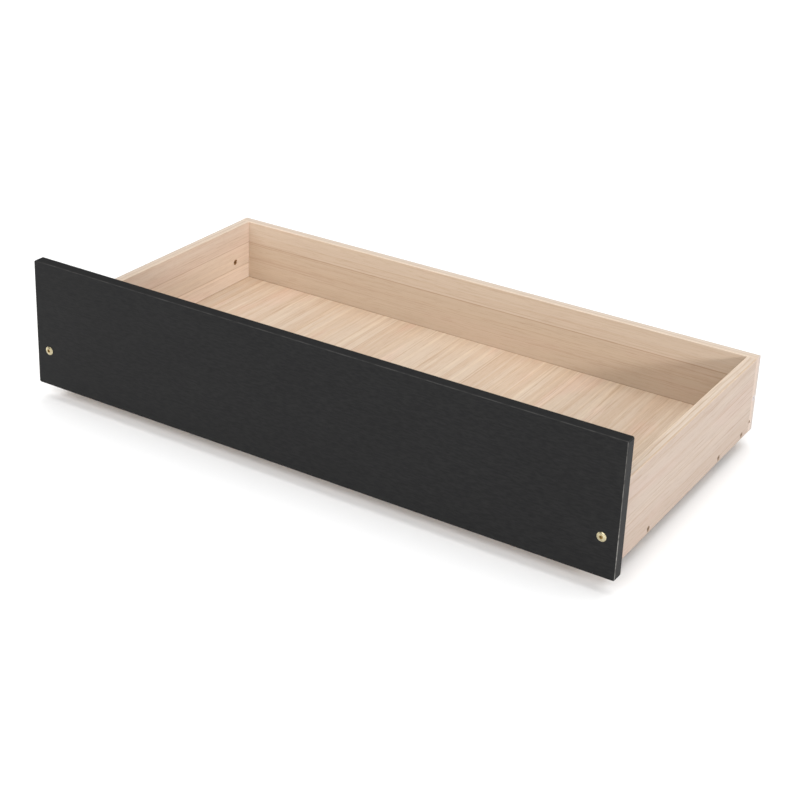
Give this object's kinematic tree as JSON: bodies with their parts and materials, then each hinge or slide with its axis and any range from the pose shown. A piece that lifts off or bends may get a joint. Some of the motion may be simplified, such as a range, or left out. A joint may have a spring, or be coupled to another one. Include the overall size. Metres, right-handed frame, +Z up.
{
  "type": "under-bed trundle drawer",
  "caption": "Shallow drawer that rolls out from under a bed on fixed casters: a tall black front panel bolted to an open box of light oak-look boards.",
  "frame": {"origin": "on the floor, below the middle of the drawer's overall box", "axes": "+X along the front panel towards its right end as seen from the front, -Y towards the front, +Z up"},
  "size_m": [1, 0.5272, 0.231],
  "materials": {
    "black_panel": "black satin lacquer over brushed grain",
    "oak_board": "light oak-look foil, satin",
    "oak_bottom": "light oak-look foil, satin",
    "raw_board": "unfinished light wood",
    "brass_bolt": "antique brass plate, satin",
    "bronze_nut": "dark brass plate",
    "beech_dowel": "raw beech",
    "bronze_screw": "yellow-brown passivated steel",
    "zinc_screw": "zinc plate",
    "black_bracket": "black powder coat",
    "wheel_plastic": "moulded black plastic",
    "steel_rivet": "zinc plate"
  },
  "bodies": {
    "drawer": {"front_panel": "black_panel", "back_panel": "oak_board", "left_side": "oak_board", "right_side": "oak_board", "bottom_panel": "oak_bottom", "front_cross_board": "raw_board", "rear_cross_board": "raw_board", "front_bolts": "brass_bolt", "rear_bolts": "brass_bolt", "front_barrel_nuts": "bronze_nut", "rear_barrel_nuts": "bronze_nut", "front_dowels": "beech_dowel", "rear_dowels": "beech_dowel", "left_board_screws": "bronze_screw", "right_board_screws": "bronze_screw", "front_left_caster_bracket": "black_bracket", "front_left_axle": "steel_rivet", "front_left_caster_screws": "zinc_screw", "front_right_caster_bracket": "black_bracket", "front_right_axle": "steel_rivet", "front_right_caster_screws": "zinc_screw", "rear_left_caster_bracket": "black_bracket", "rear_left_axle": "steel_rivet", "rear_left_caster_screws": "zinc_screw", "rear_right_caster_bracket": "black_bracket", "rear_right_axle": "steel_rivet", "rear_right_caster_screws": "zinc_screw"},
    "front_left_wheel_body": {"front_left_wheel": "wheel_plastic"},
    "front_right_wheel_body": {"front_right_wheel": "wheel_plastic"},
    "rear_left_wheel_body": {"rear_left_wheel": "wheel_plastic"},
    "rear_right_wheel_body": {"rear_right_wheel": "wheel_plastic"}
  },
  "joints": [
    {"name": "front_left_wheel_spin", "type": "hinge", "parent": "drawer", "child": "front_left_wheel_body", "pos_m": [-0.459, -0.167, 0.01], "axis": [1, 0, 0], "continuous": true},
    {"name": "front_right_wheel_spin", "type": "hinge", "parent": "drawer", "child": "front_right_wheel_body", "pos_m": [0.459, -0.167, 0.01], "axis": [1, 0, 0], "continuous": true},
    {"name": "rear_left_wheel_spin", "type": "hinge", "parent": "drawer", "child": "rear_left_wheel_body", "pos_m": [-0.459, 0.173, 0.01], "axis": [1, 0, 0], "continuous": true},
    {"name": "rear_right_wheel_spin", "type": "hinge", "parent": "drawer", "child": "rear_right_wheel_body", "pos_m": [0.459, 0.173, 0.01], "axis": [1, 0, 0], "continuous": true}
  ]
}
